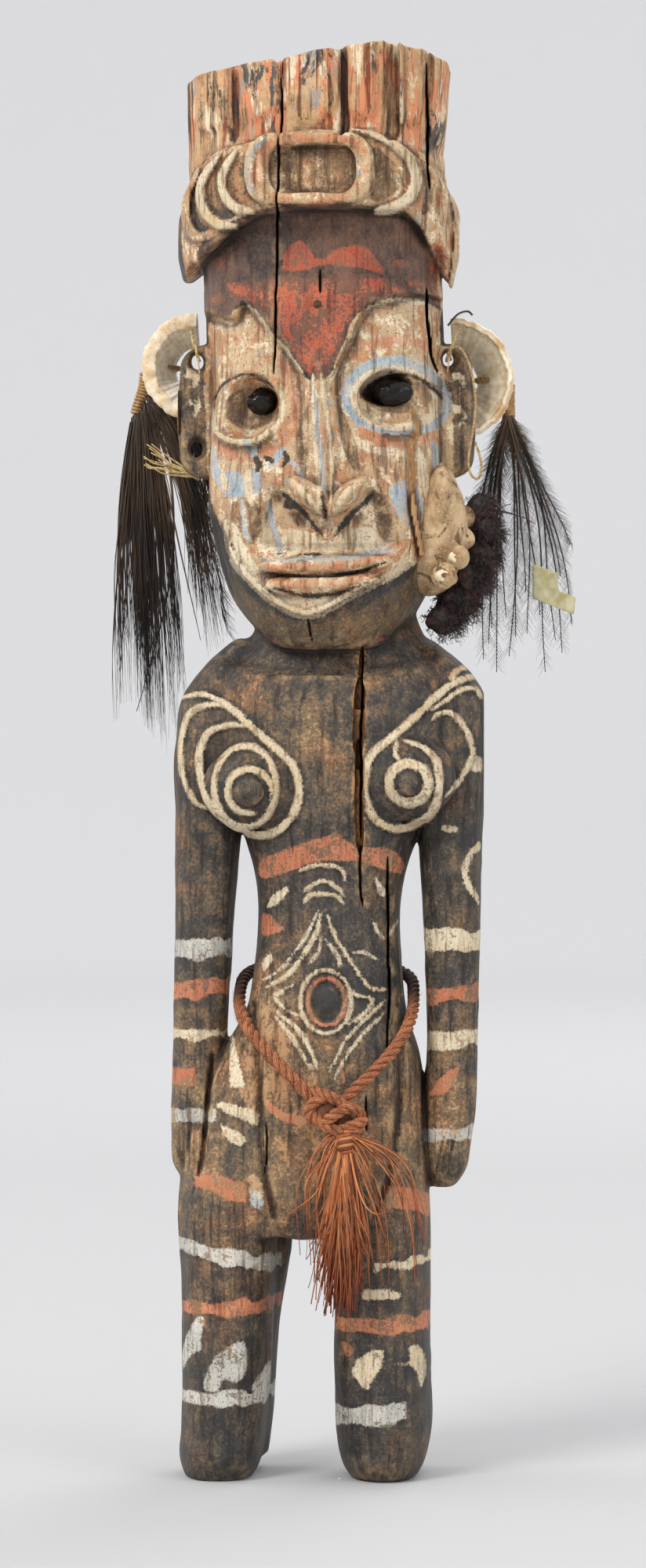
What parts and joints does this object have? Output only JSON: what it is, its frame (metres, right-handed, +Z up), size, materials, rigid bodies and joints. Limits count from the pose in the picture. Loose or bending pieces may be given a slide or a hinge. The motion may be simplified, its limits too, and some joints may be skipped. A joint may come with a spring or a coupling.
{
  "type": "carved ancestor figure",
  "caption": "Tall standing carved wooden figure with a ribbed crown, painted bands, swinging ear rings with feather bundles, and a rope belt with a tassel.",
  "frame": {"origin": "on the floor, in the middle of the object's box, between the two soles", "axes": "+Z up, the figure faces -Y, +X is to the right of someone facing it"},
  "size_m": [0.292, 0.1679, 0.882],
  "materials": {
    "painted_wood": "worn matt earth paint over carved wood",
    "dark_wood": "dull",
    "dark_resin": "glossy black resin",
    "clay": "dry unfired clay, matt",
    "shell": "worn shell, satin",
    "fur": "curly matt fur",
    "quill": "horn, satin",
    "straw": "dry straw",
    "thread": "dark twisted thread",
    "binding": "wrapped fibre",
    "feather": "dark loose-barbed feathers",
    "tape": "yellowed translucent tape",
    "string": "twisted straw string",
    "rope": "twisted plant-fibre rope",
    "tassel_fibre": "frayed plant fibre"
  },
  "bodies": {
    "figure": {"carved_figure": "painted_wood", "forehead_peg": "dark_wood", "left_eye_inlay": "dark_resin", "right_eye_inlay": "dark_resin", "jaw_clay": "clay", "nassa_shells": "shell", "jaw_fur": "fur", "jaw_quill": "quill", "left_ring_tie": "straw", "right_ring_tie": "straw", "right_ring_thread": "thread", "left_ear_fibres": "straw", "right_ear_string": "string", "belt_rope": "rope", "belt_knot": "rope"},
    "left_ring": {"left_shell_ring": "shell"},
    "right_ring": {"right_shell_ring": "shell"},
    "left_feather_bundle": {"left_feather_binding": "binding", "left_feathers": "feather"},
    "right_feather_bundle": {"right_feather_binding": "binding", "right_feathers": "feather", "feather_tape": "tape"},
    "tassel": {"belt_tassel": "tassel_fibre"}
  },
  "joints": [
    {"name": "left_ring_swing", "type": "hinge", "parent": "figure", "child": "left_ring", "pos_m": [-0.093, 0.02104, 0.712], "axis": [1, 0, 0], "range_deg": [0, 25]},
    {"name": "right_ring_swing", "type": "hinge", "parent": "figure", "child": "right_ring", "pos_m": [0.0734, 0.02104, 0.712], "axis": [1, 0, 0], "range_deg": [0, 25]},
    {"name": "left_feather_swing", "type": "hinge", "parent": "left_ring", "child": "left_feather_bundle", "pos_m": [-0.125, 0.05704, 0.688], "axis": [1, 0, 0], "range_deg": [0, 20]},
    {"name": "right_feather_swing", "type": "hinge", "parent": "right_ring", "child": "right_feather_bundle", "pos_m": [0.104, 0.05704, 0.679], "axis": [1, 0, 0], "range_deg": [0, 20]},
    {"name": "tassel_swing", "type": "hinge", "parent": "figure", "child": "tassel", "pos_m": [-0.003, -0.04696, 0.212], "axis": [-1, 0, 0], "range_deg": [0, 40]}
  ]
}
